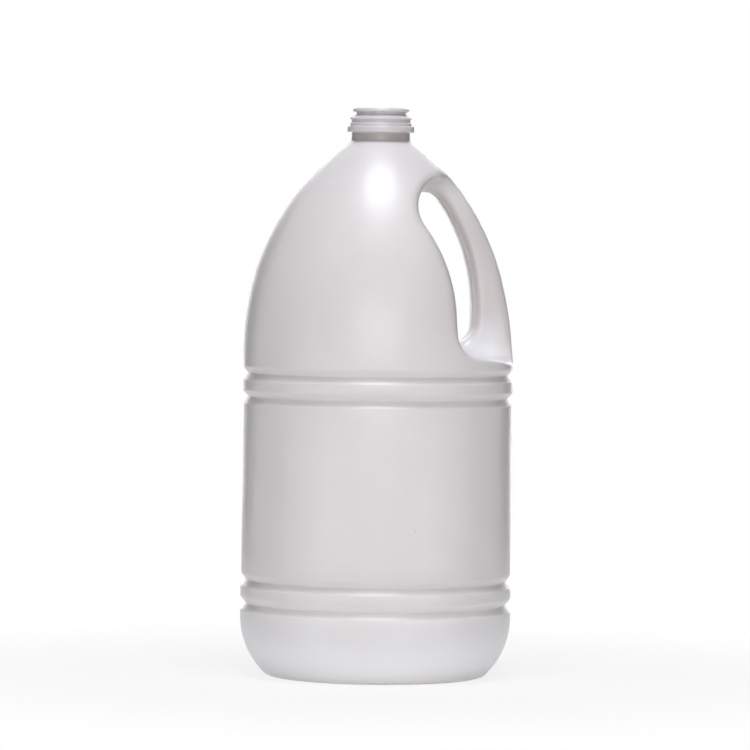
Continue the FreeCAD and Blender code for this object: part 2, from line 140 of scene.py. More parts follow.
def turn(corners, columns=COLUMNS):
    """Spins a chain of corners about Z into a skin."""
    mesh = draw_line(corners)
    bmesh.ops.spin(
        mesh, geom=mesh.verts[:] + mesh.edges[:], cent=(0, 0, 0), axis=(0, 0, 1),
        angle=TURN, steps=columns, use_merge=True,
    )
    bmesh.ops.remove_doubles(mesh, verts=mesh.verts, dist=1e-4)
    bmesh.ops.recalc_face_normals(mesh, faces=mesh.faces)
    return mesh


# %% [markdown]
# ## The body
# From the middle of the base outwards: a raised middle, so that the jug stands on a ring; a rounded chime;
# then two pairs of grooves that stiffen the wall, with the flat panel for a label between them.
# The skin stops just above the top groove, where the shoulder takes over.

# %% Turn the body
PUSH_RADIUS, PUSH_HEIGHT, PUSH_ROUND = 50.0, 4.0, 2.5
STAND_INNER, STAND_ROUND = 59.0, 6.0
CHIME_RADIUS, CHIME_TOP = 48.0, 36.0
GROOVE_START, GROOVE_PITCH = 4.65, 14.2
GROOVE_DEPTH, GROOVE_WIDTH = 3.2, 7.5
OVER_NOTCH, OVER_ROUND = 3.3, 3.0
FLOOR_DROP, FLOOR_ROUND = 0.3, 0.5
STEP_DEPTH, STEP_NOTCH, STEP_ROUND = 1.1, 3.2, 0.8
UNDER_NOTCH, UNDER_ROUND = 4.5, 1.0
PANEL_HEIGHT, PANEL_INSET = 103.4, 0.4
PANEL_ROWS = 10

groove_low = CHIME_TOP + GROOVE_START + GROOVE_WIDTH / 2
groove_high = groove_low + GROOVE_PITCH
top_low = groove_high + GROOVE_WIDTH + PANEL_HEIGHT
top_high = top_low + GROOVE_PITCH
groove_end = top_high + GROOVE_WIDTH / 2
BODY_TOP = groove_end + 0.6
JOIN_GAP = 0.5


def groove(level, under=0.0, over=0.0):
    """A groove's corners from below: an edge, a step inwards, a narrow floor and a soft upper edge.

    The skin may stand in on either side of it.
    """
    return [
        (JUG_RADIUS - under, level - UNDER_NOTCH, UNDER_ROUND),
        (JUG_RADIUS - under - STEP_DEPTH, level - STEP_NOTCH, STEP_ROUND),
        (JUG_RADIUS - GROOVE_DEPTH, level - FLOOR_DROP, FLOOR_ROUND),
        (JUG_RADIUS - over, level + OVER_NOTCH, OVER_ROUND),
    ]


chime_centre = (JUG_RADIUS - CHIME_RADIUS, CHIME_TOP)
chime_start = -math.degrees(math.asin(CHIME_TOP / CHIME_RADIUS))
chime = arc(chime_centre, CHIME_RADIUS, chime_start, 0)
panel_foot = groove_high + GROOVE_WIDTH / 2
panel = [
    (JUG_RADIUS - PANEL_INSET, panel_foot + PANEL_HEIGHT * row / PANEL_ROWS) for row in range(1, PANEL_ROWS)
]
body_outline = [
    (0, PUSH_HEIGHT), (PUSH_RADIUS / 2, PUSH_HEIGHT), (PUSH_RADIUS, PUSH_HEIGHT, PUSH_ROUND),
    (STAND_INNER, 0, PUSH_ROUND), (*chime[0], STAND_ROUND), *chime[1:],
    *groove(groove_low), *groove(groove_high, over=PANEL_INSET),
    *panel,
    *groove(top_low, under=PANEL_INSET), *groove(top_high),
    (JUG_RADIUS, BODY_TOP),
]
body = turn(body_outline)
print("body:", len(body.faces), "faces")

# %% [markdown]
# ## The shoulder as a rule
# The shoulder, the recess and the grip flow into each other with soft edges of changing radius. Rather than
# push vertices about by eye, the form is written down as a distance: for any point, how far it lies outside
# the skin. A dome, a recess and a finger hole each have a simple distance, and two of them are joined with a
# rounded maximum, which is what a mould maker's fillet does.

# %% Distances for the shoulder
SHOULDER_GAP = 6.95
LOW_RADIUS, LOW_HEIGHT, HIGH_RADIUS = 190.0, 39.35, 147.5
shoulder_start = groove_end + SHOULDER_GAP
bend_z = LOW_HEIGHT / LOW_RADIUS
bend_x = math.sqrt(1 - bend_z**2)
low_centre = (JUG_RADIUS - LOW_RADIUS, shoulder_start)
high_centre = (
    low_centre[0] + (LOW_RADIUS - HIGH_RADIUS) * bend_x,
    low_centre[1] + (LOW_RADIUS - HIGH_RADIUS) * bend_z,
)
bend_level = shoulder_start + LOW_HEIGHT


def round_max(a, b, radius):
    """The larger of two distances, with the edge where they meet rounded."""
    corner = np.hypot(np.maximum(radius + a, 0), np.maximum(radius + b, 0))
    return np.minimum(-radius, np.maximum(a, b)) + corner


def round_min(a, b, radius):
    return -round_max(-a, -b, radius)


def ramp(value, low, high):
    return np.clip((value - low) / (high - low), 0, 1)


def dome(radius, z):
    """Distance outside the shoulder's round form: a cylinder and two arcs."""
    low = np.hypot(radius - low_centre[0], z - low_centre[1]) - LOW_RADIUS
    high = np.hypot(radius - high_centre[0], z - high_centre[1]) - HIGH_RADIUS
    above_bend = (radius - low_centre[0]) * bend_z < (z - low_centre[1]) * bend_x
    return np.where(z < shoulder_start, radius - JUG_RADIUS, np.where(above_bend, high, low))


# %% Distances for the recess and the finger hole
RECESS_DEPTH, RECESS_RISE, RECESS_ANGLE = 48.5, 23.6, math.radians(34)
LEDGE_LAND, LEDGE_CORNER, LEDGE_SLOPE = 3.1, 14.0, math.radians(7)
TOP_ROUND = 17.0
GRIP_WIDTH, GRIP_DEPTH, GRIP_RISE = 22.0, 23.4, 27.6
HOLE_STEP, HOLE_TOP, HOLE_FOOT_RISE = 0.8, 13.0, 20.8
ROOT_ROUND, CROWN_ROUND = 14.5, 8.0
LEDGE_ROUND, RIM_ROUND, GRIP_ROUND, HOLE_ROUND = 2.8, 8.0, 10.0, 4.0
HOLE_ROUND_SHARE, HOLE_ROUND_LEAST = 0.75, 0.6
GRIP_BEFORE, GRIP_PAST = 8.0, 4.0
RIDGE_HEIGHT, RIDGE_REACH = 0.45, 1.0

inner_radius = HIGH_RADIUS - RECESS_DEPTH
inner_level = shoulder_start + RECESS_RISE
inner_face = high_centre[0] + inner_radius
up_x, up_z = math.cos(RECESS_ANGLE), math.sin(RECESS_ANGLE)
ledge_edge = groove_end + LEDGE_LAND
corner_x = inner_face + LEDGE_CORNER
corner_z = ledge_edge + (JUG_RADIUS - corner_x) * math.tan(LEDGE_SLOPE) + LEDGE_CORNER / math.cos(LEDGE_SLOPE)
top_x = high_centre[0] + (inner_radius + TOP_ROUND) * up_x
top_z = inner_level + (inner_radius + TOP_ROUND) * up_z

side_radius = inner_radius + HOLE_STEP
side_face = high_centre[0] + side_radius
hole_x = high_centre[0] + (side_radius + HOLE_TOP) * up_x
hole_z = inner_level + (side_radius + HOLE_TOP) * up_z
grip_level = shoulder_start + GRIP_RISE
grip_face = JUG_RADIUS - GRIP_DEPTH
reach, climb = hole_x - grip_face, hole_z - grip_level
grip_radius = (HOLE_TOP**2 - reach**2 - climb**2) / (2 * (reach + HOLE_TOP))
grip_x = grip_face - grip_radius
foot_z = shoulder_start + HOLE_FOOT_RISE
foot_reach, foot_drop = side_face - grip_x, grip_level - foot_z
foot_round = (grip_radius**2 - foot_reach**2 - foot_drop**2) / (2 * (grip_radius + foot_reach))
foot_x = side_face + foot_round


def recess(x, z):
    """How deep a point lies in the recess as seen along Y; less than nothing outside it."""
    lean_x, lean_z = math.sin(LEDGE_SLOPE), math.cos(LEDGE_SLOPE)
    bulge = np.hypot(x - high_centre[0], z - inner_level) - inner_radius
    inner = np.where(z > inner_level, bulge, x - inner_face)
    ledge = (x - corner_x) * lean_x + (z - corner_z) * lean_z + LEDGE_CORNER
    depth = np.minimum(np.minimum(inner, ledge), top_z + TOP_ROUND - z)
    in_corner = (z < corner_z) & ((x - corner_x) * lean_z < (z - corner_z) * lean_x)
    depth = np.where(in_corner, LEDGE_CORNER - np.hypot(x - corner_x, z - corner_z), depth)
    in_top = (x < top_x) & ((z - top_z) * up_x > (x - top_x) * up_z)
    return np.where(in_top, TOP_ROUND - np.hypot(x - top_x, z - top_z), depth)


def finger_hole(x, z):
    """How deep a point lies in the finger hole as seen along Y."""
    bulge = np.hypot(x - high_centre[0], z - inner_level) - side_radius
    side = np.where(z > inner_level, bulge, x - side_face)
    depth = np.minimum(side, grip_radius - np.hypot(x - grip_x, z - grip_level))
    past_grip = (hole_x - grip_x) * (z - hole_z) > climb * (x - hole_x)
    in_top = past_grip & ((z - hole_z) * up_x > (x - hole_x) * up_z)
    depth = np.where(in_top, HOLE_TOP - np.hypot(x - hole_x, z - hole_z), depth)
    in_foot = (z < foot_z) & ((x - foot_x) * -foot_drop > (z - foot_z) * (foot_x - grip_x))
    return np.where(in_foot, foot_round - np.hypot(x - foot_x, z - foot_z), depth)


def shoulder_form(points):
    """Distance outside the whole shoulder: dome, recess, grip and finger hole."""
    x, y, z = points[:, 0], np.abs(points[:, 1]), points[:, 2]
    depth = recess(x, z)
    root = ROOT_ROUND + (CROWN_ROUND - ROOT_ROUND) * ramp(z, ledge_edge, inner_level)
    air = round_min(depth, y - GRIP_WIDTH / 2, root)
    on_grip = ramp(x, grip_face - GRIP_BEFORE, grip_face + GRIP_PAST)
    full = RIM_ROUND + (GRIP_ROUND - RIM_ROUND) * on_grip
    full_level = inner_level + (bend_level - inner_level) * on_grip
    rim = LEDGE_ROUND + (full - LEDGE_ROUND) * ramp(z, shoulder_start, full_level)
    skin = round_max(dome(np.hypot(x, y), z), air, rim)
    ridge = RIDGE_HEIGHT * (1 - ramp(y, 0, RIDGE_REACH) ** 2) ** 2
    hole = finger_hole(x, z) - ridge
    edge = np.clip(HOLE_ROUND_SHARE * (depth - hole), HOLE_ROUND_LEAST, HOLE_ROUND)
    return round_max(skin, hole, edge)


print("finger hole:", round(grip_face - side_face, 1), "mm wide, foot radius", round(foot_round, 1))

# %% [markdown]
# ## The shoulder as a mesh
# A rough blank comes first: the dome is spun, the recess and the hole are cut from it with Boolean
# modifiers, and a voxel Remesh turns the result into even quads. The blank then settles: every vertex steps
# along the slope of the distance until it lies on the form, and between the steps the mesh is relaxed, so
# that its quads stay even. Where an edge is tight, such as the ledge, the quads are divided and settle again.

# %% Helpers for meshes and modifiers
def new_object(name, mesh):
    """Puts a bmesh into a new object of the scene."""
    data = bpy.data.meshes.new(name)
    mesh.to_mesh(data)
    mesh.free()
    made = bpy.data.objects.new(name, data)
    bpy.context.scene.collection.objects.link(made)
    return made


def with_modifiers(holder):
    """A bmesh of the object as its modifiers leave it."""
    shown = holder.evaluated_get(bpy.context.evaluated_depsgraph_get())
    mesh = bmesh.new()
    mesh.from_mesh(shown.to_mesh())
    shown.to_mesh_clear()
    return mesh


def slab(outline, near, far):
    """A closed outline in the XZ plane, drawn out along Y."""
    mesh = draw_line(outline, closed=True)
    face = bmesh.ops.contextual_create(mesh, geom=mesh.edges[:])["faces"]
    bmesh.ops.translate(mesh, verts=mesh.verts, vec=(0, near, 0))
    drawn = bmesh.ops.extrude_face_region(mesh, geom=face, use_keep_orig=True)["geom"]
    moved = [item for item in drawn if isinstance(item, bmesh.types.BMVert)]
    bmesh.ops.translate(mesh, verts=moved, vec=(0, far - near, 0))
    bmesh.ops.recalc_face_normals(mesh, faces=mesh.faces)
    return mesh


# %% Cut the blank
VOXEL = 2.3
BEYOND = 120.0
SHOULDER_FOOT, SHOULDER_TOP = BODY_TOP + JOIN_GAP, 316.0
NECK_RADIUS = 17.8
DOME_STEP, SIDE_STEP, CORNER_STEP = 2, 5, 10

turn_degrees = math.degrees(RECESS_ANGLE)
neck_angle = math.degrees(math.acos((NECK_RADIUS - high_centre[0]) / HIGH_RADIUS))
bend_angle = math.degrees(math.asin(bend_z))
dome_outline = [
    (0, top_high), (JUG_RADIUS, top_high), *arc(low_centre, LOW_RADIUS, 0, bend_angle, DOME_STEP),
    *arc(high_centre, HIGH_RADIUS, bend_angle, neck_angle, DOME_STEP)[1:],
    (0, high_centre[1] + HIGH_RADIUS),
]
blank = new_object("blank", turn(dome_outline))

inner_centre = (high_centre[0], inner_level)
far_z = corner_z - LEDGE_CORNER / math.cos(LEDGE_SLOPE) - (BEYOND - corner_x) * math.tan(LEDGE_SLOPE)
recess_outline = [
    (BEYOND, far_z),
    *arc((corner_x, corner_z), LEDGE_CORNER, 270 - math.degrees(LEDGE_SLOPE), 180, CORNER_STEP),
    *arc(inner_centre, inner_radius, 0, turn_degrees, SIDE_STEP),
    *arc((top_x, top_z), TOP_ROUND, 180 + turn_degrees, 90, CORNER_STEP)[1:],
    (BEYOND, top_z + TOP_ROUND),
]
grip_top = math.degrees(math.atan2(climb, hole_x - grip_x))
grip_foot = -math.degrees(math.atan2(foot_drop, foot_x - grip_x))
hole_outline = [
    *arc(inner_centre, side_radius, 0, turn_degrees, SIDE_STEP),
    *arc((hole_x, hole_z), HOLE_TOP, 180 + turn_degrees, grip_top, CORNER_STEP)[1:],
    *arc((grip_x, grip_level), grip_radius, grip_top, grip_foot, SIDE_STEP)[1:],
    *arc((foot_x, foot_z), foot_round, grip_foot, -180, CORNER_STEP)[1:],
]
cutters = [
    slab(recess_outline, GRIP_WIDTH / 2, BEYOND),
    slab(recess_outline, -BEYOND, -GRIP_WIDTH / 2),
    slab(hole_outline, -BEYOND, BEYOND),
]
for number, cutter in enumerate(cutters):
    holder = new_object(f"cutter_{number}", cutter)
    cut = blank.modifiers.new(holder.name, "BOOLEAN")
    cut.operation = "DIFFERENCE"
    cut.object = holder
remesh = blank.modifiers.new("quads", "REMESH")
remesh.mode = "VOXEL"
remesh.voxel_size = VOXEL
shoulder = with_modifiers(blank)
for helper in [blank] + [item for item in bpy.data.objects if item.name.startswith("cutter_")]:
    bpy.data.objects.remove(helper)
print("shoulder blank:", len(shoulder.faces), "faces")

# %% Settle the blank on the form
SLOPE_STEP, LEAST_SLOPE = 0.02, 0.1
FLAT_MARGIN, CAP_MARGIN = 1.0, 8.0
AXES = np.eye(3)


def places(verts):
    return np.array([vert.co for vert in verts])


def settle(verts, form, steps=4):
    """Moves vertices along the slope of a distance until they lie where it is nothing."""
    points = places(verts)
    for _ in range(steps):
        value = form(points)
        slope = np.stack([form(points + axis * SLOPE_STEP) - value for axis in AXES], axis=1) / SLOPE_STEP
        points -= slope * (value / np.maximum((slope**2).sum(axis=1), LEAST_SLOPE))[:, None]
    for vert, point in zip(verts, points):
        vert.co = point


def relax(mesh, verts, rounds, form):
    """Evens out the quads without leaving the form."""
    for _ in range(rounds):
        bmesh.ops.smooth_vert(
            mesh, verts=verts, factor=0.5, use_axis_x=True, use_axis_y=True, use_axis_z=True
        )
        settle(verts, form, steps=2)


def skin_of(mesh):
    """The vertices that belong on the form, apart from the blank's flat bottom and its top."""
    low, high = top_high + FLAT_MARGIN, SHOULDER_TOP + CAP_MARGIN
    return [vert for vert in mesh.verts if low < vert.co.z < high]


settle(skin_of(shoulder), shoulder_form)
relax(shoulder, skin_of(shoulder), 6, shoulder_form)
print("settled", len(shoulder.verts), "vertices")

# %% [markdown]
# The shoulder is cut level where the turned parts take over. The cut makes new vertices on straight edges,
# so the rim settles once more at its own level. Then each face whose middle still lies off the form is too
# large for the curve there, and is divided: this finds the ledge's edge and the rim of the hole by itself.

# %% Cut the shoulder level and divide its tight curves
FACE_ERROR = 0.06
DIVIDE_ROUNDS = 3


def cut_level(mesh, level, keep_above):
    bmesh.ops.bisect_plane(
        mesh, geom=mesh.verts[:] + mesh.edges[:] + mesh.faces[:], dist=1e-4, plane_co=(0, 0, level),
        plane_no=(0, 0, 1), clear_outer=not keep_above, clear_inner=keep_above,
    )


def settle_rims(mesh, form, rounds=4):
    """Settles the open rims without letting them leave their level."""
    rim = [vert for vert in mesh.verts if vert.is_boundary]
    levels = [SHOULDER_FOOT if vert.co.z < inner_level else SHOULDER_TOP for vert in rim]
    for _ in range(rounds):
        settle(rim, form, steps=1)
        for vert, level in zip(rim, levels):
            vert.co.z = level


cut_level(shoulder, SHOULDER_FOOT, keep_above=True)
cut_level(shoulder, SHOULDER_TOP, keep_above=False)
settle_rims(shoulder, shoulder_form)
for _ in range(DIVIDE_ROUNDS):
    middles = np.array([face.calc_center_median() for face in shoulder.faces])
    off_form = np.abs(shoulder_form(middles)) > FACE_ERROR
    large = [face for face, is_off in zip(shoulder.faces, off_form) if is_off]
    edges = list({edge for face in large for edge in face.edges})
    bmesh.ops.subdivide_edges(shoulder, edges=edges, cuts=1, use_grid_fill=True)
    inside = [vert for vert in shoulder.verts if not vert.is_boundary]
    settle(inside, shoulder_form)
    relax(shoulder, inside, 2, shoulder_form)
    settle_rims(shoulder, shoulder_form)
    print("divided", len(large), "faces, now", len(shoulder.faces))
many_sided = [face for face in shoulder.faces if len(face.verts) > 5]
bmesh.ops.triangulate(shoulder, faces=many_sided)

# %% [markdown]
# ## The neck
# The neck finish is moulded more exactly than the rest, because a cap is pushed on to it: a wide flange, two
# thin beads, an undercut and a bevelled lip. It is turned like the body. The outline runs up the outside,
# over the lip, down the straight bore and out along the inside of the shoulder.

# %% Turn the neck
WALL = 0.9
NECK_HEIGHT, NECK_ROUND, NECK_TOP_ROUND = 5.1, 1.0, 0.3
FINE_ROUND = 0.2
FLANGE_RADIUS, FLANGE_HEIGHT, FLANGE_ROUND = 20.5, 3.7, 0.6
BEAD_RADIUS, BEAD_ROUND = 18.85, 0.25
BEAD_HEIGHTS = (1.7, 0.7, 1.4, 0.5, 0.7)
GUTTER_RADIUS = 18.05
LEAD_HEIGHT, UNDERCUT_RADIUS, UNDERCUT_HEIGHT = 2.4, 14.75, 0.5
LIP_SLOPE, LIP_RADIUS, LIP_HEIGHT, LIP_CHAMFER, LIP_FACE = 1.1, 17.25, 1.1, 0.8, 16.5
BORE_RADIUS, BORE_DROP, BORE_ROUND, THROAT_RADIUS = 13.25, 1.0, 0.5, 15.3
LIP_INSIDE_ROUND = 0.4
NECK_COLUMNS, UNDER_STEP = 96, 1.5
NECK_GAP = 2.0

neck_root = high_centre[1] + math.sqrt(HIGH_RADIUS**2 - (NECK_RADIUS - high_centre[0]) ** 2)
flange_low = neck_root + NECK_HEIGHT
levels = [flange_low + FLANGE_HEIGHT]
for rise in (*BEAD_HEIGHTS, LEAD_HEIGHT, UNDERCUT_HEIGHT, LIP_SLOPE, LIP_HEIGHT, LIP_CHAMFER):
    levels.append(levels[-1] + rise)
(flange_high, bead_low_top, gutter_low, gutter_high, bead_high_low, bead_high_top,
 undercut_low, undercut_high, lip_low, lip_high, lip_top) = levels
print("top of the lip at", round(lip_top, 2), "mm")

join_angle = math.degrees(math.asin((SHOULDER_TOP + NECK_GAP - high_centre[1]) / HIGH_RADIUS))
inner_arc = HIGH_RADIUS - WALL
throat_angle = math.degrees(math.acos((THROAT_RADIUS - high_centre[0]) / inner_arc))
under_shoulder = arc(high_centre, inner_arc, throat_angle, join_angle, UNDER_STEP)
neck_outline = [
    *arc(high_centre, HIGH_RADIUS, join_angle, neck_angle, DOME_STEP)[:-1],
    (NECK_RADIUS, neck_root, NECK_ROUND), (NECK_RADIUS, flange_low, NECK_TOP_ROUND),
    (FLANGE_RADIUS, flange_low, FLANGE_ROUND), (FLANGE_RADIUS, flange_high, FLANGE_ROUND),
    (BEAD_RADIUS, flange_high, FINE_ROUND), (BEAD_RADIUS, bead_low_top, BEAD_ROUND),
    (GUTTER_RADIUS, gutter_low, FINE_ROUND), (GUTTER_RADIUS, gutter_high, FINE_ROUND),
    (BEAD_RADIUS, bead_high_low, BEAD_ROUND), (BEAD_RADIUS, bead_high_top, BEAD_ROUND),
    (UNDERCUT_RADIUS, undercut_low, FINE_ROUND), (UNDERCUT_RADIUS, undercut_high, FINE_ROUND),
    (LIP_RADIUS, lip_low, BEAD_ROUND), (LIP_RADIUS, lip_high, BEAD_ROUND),
    (LIP_FACE, lip_top, FINE_ROUND), (BORE_RADIUS, lip_top, LIP_INSIDE_ROUND),
    (BORE_RADIUS, flange_low - BORE_DROP, BORE_ROUND), *under_shoulder,
]
neck = turn(neck_outline, NECK_COLUMNS)
print("neck:", len(neck.faces), "faces")

# %% [markdown]
# ## One wall
# Body and shoulder are joined ring to ring. The joined skin is then doubled: the copy moves inwards along its
# own normals by the thickness of the wall and is turned inside out. Two bridges join both skins to the neck,
# which was drawn with its inside. The result is what the mould makes: one closed wall, hollow right into the
# grip. Doubling the skin keeps every face of the inside opposite its twin, so the wall is even throughout.

# %% Join the pieces
MOST_SHELL = 1.4


def join(mesh, other):
    """Moves another bmesh into this one."""
    data = bpy.data.meshes.new("joined")
    other.to_mesh(data)
    other.free()
    mesh.from_mesh(data)
    bpy.data.meshes.remove(data)


def open_edges(mesh, low, high):
    """The open edges between two levels."""
    return [edge for edge in mesh.edges if edge.is_boundary and low < edge.verts[0].co.z < high]


jug_shell = body
join(jug_shell, shoulder)
bmesh.ops.bridge_loops(jug_shell, edges=open_edges(jug_shell, top_high, inner_level))
bmesh.ops.recalc_face_normals(jug_shell, faces=jug_shell.faces)
copied = bmesh.ops.duplicate(jug_shell, geom=jug_shell.verts[:] + jug_shell.edges[:] + jug_shell.faces[:])
inner_skin = [item for item in copied["geom"] if isinstance(item, bmesh.types.BMFace)]
inner_points = [item for item in copied["geom"] if isinstance(item, bmesh.types.BMVert)]
jug_shell.normal_update()
for vert in inner_points:
    vert.co -= vert.normal * WALL * min(vert.calc_shell_factor(), MOST_SHELL)
bmesh.ops.reverse_faces(jug_shell, faces=inner_skin)
join(jug_shell, neck)
rings = open_edges(jug_shell, inner_level, lip_top)
for is_outer in (True, False):
    ring = [
        edge for edge in rings
        if (math.dist((edge.verts[0].co.xy.length, edge.verts[0].co.z), high_centre) > HIGH_RADIUS - WALL / 2)
        == is_outer
    ]
    bmesh.ops.bridge_loops(jug_shell, edges=ring)
still_open = sum(edge.is_boundary for edge in jug_shell.edges)
print("jug shell:", len(jug_shell.faces), "faces, open edges:", still_open)

# %% [markdown]
# ## From millimetres to metres
# The finished wall becomes one object at the origin, in the frame's metres, shaded smooth. It rides on the
# jug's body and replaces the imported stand-in.

# %% Finish the shell
bmesh.ops.scale(jug_shell, vec=(MM, MM, MM), verts=jug_shell.verts)
for face in jug_shell.faces:
    face.smooth = True
jug = new_object("jug_shell", jug_shell)
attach(jug, "root")
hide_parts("jug")
print("jug shell is", [round(side / MM, 1) for side in jug.dimensions], "mm")

# %% [markdown]
# ## Writing a material as sums
# A finish is a sum of masks: a line here, a grain there. A small class stands for a socket, so that such sums
# read as plain Python and each operator adds its node.

# %% A socket that can be used in sums
class Signal:
    """A number that varies over a surface: one socket of a material's nodes."""

    def __init__(self, nodes, socket=None):
        self.nodes, self.socket = nodes, socket

    def node(self, kind, settings=None, inputs=None, output=0):
        """Adds any node: first its settings, then values or links, and returns one of its outputs."""
        made = self.nodes.new(kind)
        for name, value in (settings or {}).items():
            setattr(made, name, value)
        for name, value in (inputs or {}).items():
            if isinstance(value, Signal):
                self.nodes.id_data.links.new(value.socket, made.inputs[name])
            else:
                made.inputs[name].default_value = value
        return Signal(self.nodes, made.outputs[output] if made.outputs else None)

    def sum(self, operation, *values):
        return self.node("ShaderNodeMath", {"operation": operation}, dict(enumerate(values)))

    def __add__(self, other):
        return self.sum("ADD", self, other)

    def __sub__(self, other):
        return self.sum("SUBTRACT", self, other)

    def __rsub__(self, other):
        return self.sum("SUBTRACT", other, self)

    def __mul__(self, other):
        return self.sum("MULTIPLY", self, other)

    def __abs__(self):
        return self.sum("ABSOLUTE", self)

    __radd__ = __add__

    def fade(self, start, end):
        """A soft step: nothing at the start, one at the end."""
        return self.node(
            "ShaderNodeMapRange", {"interpolation_type": "SMOOTHSTEP"},
            {"Value": self, "From Min": start, "From Max": end},
        )

    def line(self, level, width):
        """One on a level and nothing further than half a width from it."""
        return 1 - abs(self - level).fade(0, width / 2)

    def noise(self, scale, detail=2.0):
        """Noise centred on nothing, read at a vector."""
        found = self.node(
            "ShaderNodeTexNoise", None, {"Vector": self, "Scale": scale, "Detail": detail}, output="Fac"
        )
        return found - 0.5

    def split(self):
        return [self.node("ShaderNodeSeparateXYZ", None, {"Vector": self}, output=axis) for axis in range(3)]

    def blend(self, first, second):
        """A colour between two, by this signal."""
        return self.node("ShaderNodeMix", {"data_type": "RGBA"}, {0: self, 6: first, 7: second}, output=2)


def new_finish(name):
    material = bpy.data.materials.new(name)
    material.use_nodes = True
    material.node_tree.nodes.clear()
    return material, Signal(material.node_tree.nodes)


# %% [markdown]
# ## Milky polyethylene
# Natural polyethylene is not painted or filled: it is a waxy, slightly cloudy white that lets some light
# through its wall. Light scatters below its surface, which softens every shade, so the shader gets
# subsurface scattering over three millimetres, which is more than the wall. The modelled wall is even, and
# masks over the plain milky colour paint light and shade into it: painted light at the base, which the
# floor lights from below, and inside the finger hole; a painted highlight on the recess's ledge; painted
# shade round the recess, on the neck finish and in the flange's shadow on the neck.

# %% Whites of the polyethylene
MILK, SPECK = (0.80, 0.742, 0.725, 1), (0.05, 0.045, 0.04, 1)
# Painted light: the lighter white at the base and inside the finger hole. Painted shade: the darker white round
# the recess.
PAINTED_LIGHT_MILK, RECESS_SHADE_MILK = (0.98, 0.94, 0.935, 1), (0.725, 0.665, 0.65, 1)
# Painted highlight of the overhead light on the recess's ledge.
LEDGE_HIGHLIGHT_MILK = (0.93, 0.895, 0.92, 1)
# Painted shade: the flange's shadow on the neck below it, and a darker neck finish that gets less light through
# its thick wall.
FLANGE_SHADOW_MILK, FINISH_SHADE_MILK = (0.385, 0.353, 0.34, 1), (0.63, 0.60, 0.61, 1)

material, start = new_finish("milky_polyethylene")
place = start.node("ShaderNodeTexCoord", output="Object")
x, y, z = place.split()


def distance_in(keep, middle):
    """Distance from a point, along the kept axes only."""
    flat = place.node("ShaderNodeVectorMath", {"operation": "MULTIPLY"}, {0: place, 1: keep})
    return flat.node("ShaderNodeVectorMath", {"operation": "DISTANCE"}, {0: flat, 1: middle}, output="Value")


# %% Masks for painted light and shade
RECESS_MIDDLE = (0.062, 0, 0.240)
DOME_MIDDLE = (high_centre[0] * MM, 0, high_centre[1] * MM)
NECK_START, FLANGE_START = neck_root * MM, flange_low * MM
CLOUD_SCALE, CLOUD_SHARE = 28, 0.5
BASE_LIGHT_RISE = (0.008, 0.060)
RECESS_SHADE_REACH, RECESS_SHADE_RISE = (0.029, 0.066), (0.194, 0.216)
DEEP_START, DEEP_END, HOLE_SIDE = 12, 7, (0.0065, 0.0105)
LEDGE_REACH, LEDGE_SIDE = (0.068, 0.079), (0.035, 0.058)
LEDGE_FOOT, LEDGE_TOP = (0.186, 0.189), (0.198, 0.224)
NECK_BEFORE, NECK_PAST, FLANGE_BEFORE = 0.0016, 0.0008, 0.0006

cloud = place.noise(CLOUD_SCALE, 3)
# Painted light at the base, where the floor lights it from below.
base_light = 1 - z.fade(*BASE_LIGHT_RISE)
# Painted shade round the recess.
recess_shade = (1 - distance_in((1, 0, 1), RECESS_MIDDLE).fade(*RECESS_SHADE_REACH)) * z.fade(*RECESS_SHADE_RISE)
from_dome = distance_in((1, 0, 1), DOME_MIDDLE)
deep = 1 - from_dome.fade((HIGH_RADIUS - DEEP_START) * MM, (HIGH_RADIUS - DEEP_END) * MM)
# Painted light inside the finger hole, where light comes through the wall.
hole_light = deep * (1 - abs(y).fade(*HOLE_SIDE))
from_axis = distance_in((1, 1, 0), (0, 0, 0))
# Painted highlight on the ledge.
ledge_highlight = (1 - from_axis.fade(*LEDGE_REACH)) * x.fade(*LEDGE_SIDE)
ledge_highlight = ledge_highlight * z.fade(*LEDGE_FOOT) * (1 - z.fade(*LEDGE_TOP))
# Painted shade on the neck: the flange's shadow below it and darker shade on the finish above.
neck_shade = z.fade(NECK_START - NECK_BEFORE, NECK_START + NECK_PAST)
on_finish = z.fade(FLANGE_START - FLANGE_BEFORE, FLANGE_START)

colour = (base_light + cloud * CLOUD_SHARE).blend(MILK, PAINTED_LIGHT_MILK)
colour = recess_shade.blend(colour, hole_light.blend(RECESS_SHADE_MILK, PAINTED_LIGHT_MILK))
colour = ledge_highlight.blend(colour, LEDGE_HIGHLIGHT_MILK)
colour = neck_shade.blend(colour, on_finish.blend(FLANGE_SHADOW_MILK, FINISH_SHADE_MILK))

# %% [markdown]
# ## Marks of the mould
# The mould was blasted with grit, which leaves a fine even grain. Its halves leave a raised line in the plane
# y = 0, strongest on the shoulder where the trimmed flash was cut away. A separate insert forms the neck
# and leaves a ring on the shoulder.

# %% Mould marks
SEAM_WIDTH, SEAM_HEIGHT = 0.0007, 0.00010
FLASH_WIDTH, FLASH_HEIGHT = 0.0016, 0.00030
FLASH_SCALE, FLASH_RISE, FLASH_SIDE = 260, (0.278, 0.290), (-0.012, 0.0)
INSERT_LEVEL, INSERT_WIDTH, INSERT_HEIGHT = 0.3085, 0.0006, 0.00003
GRAIN_SCALE, GRAIN_HEIGHT = 1900, 0.000012
DIMPLE_SCALE, DIMPLE_HEIGHT = 750, 0.000022
SWELL_SCALE, SWELL_HEIGHT = 45, 0.00010

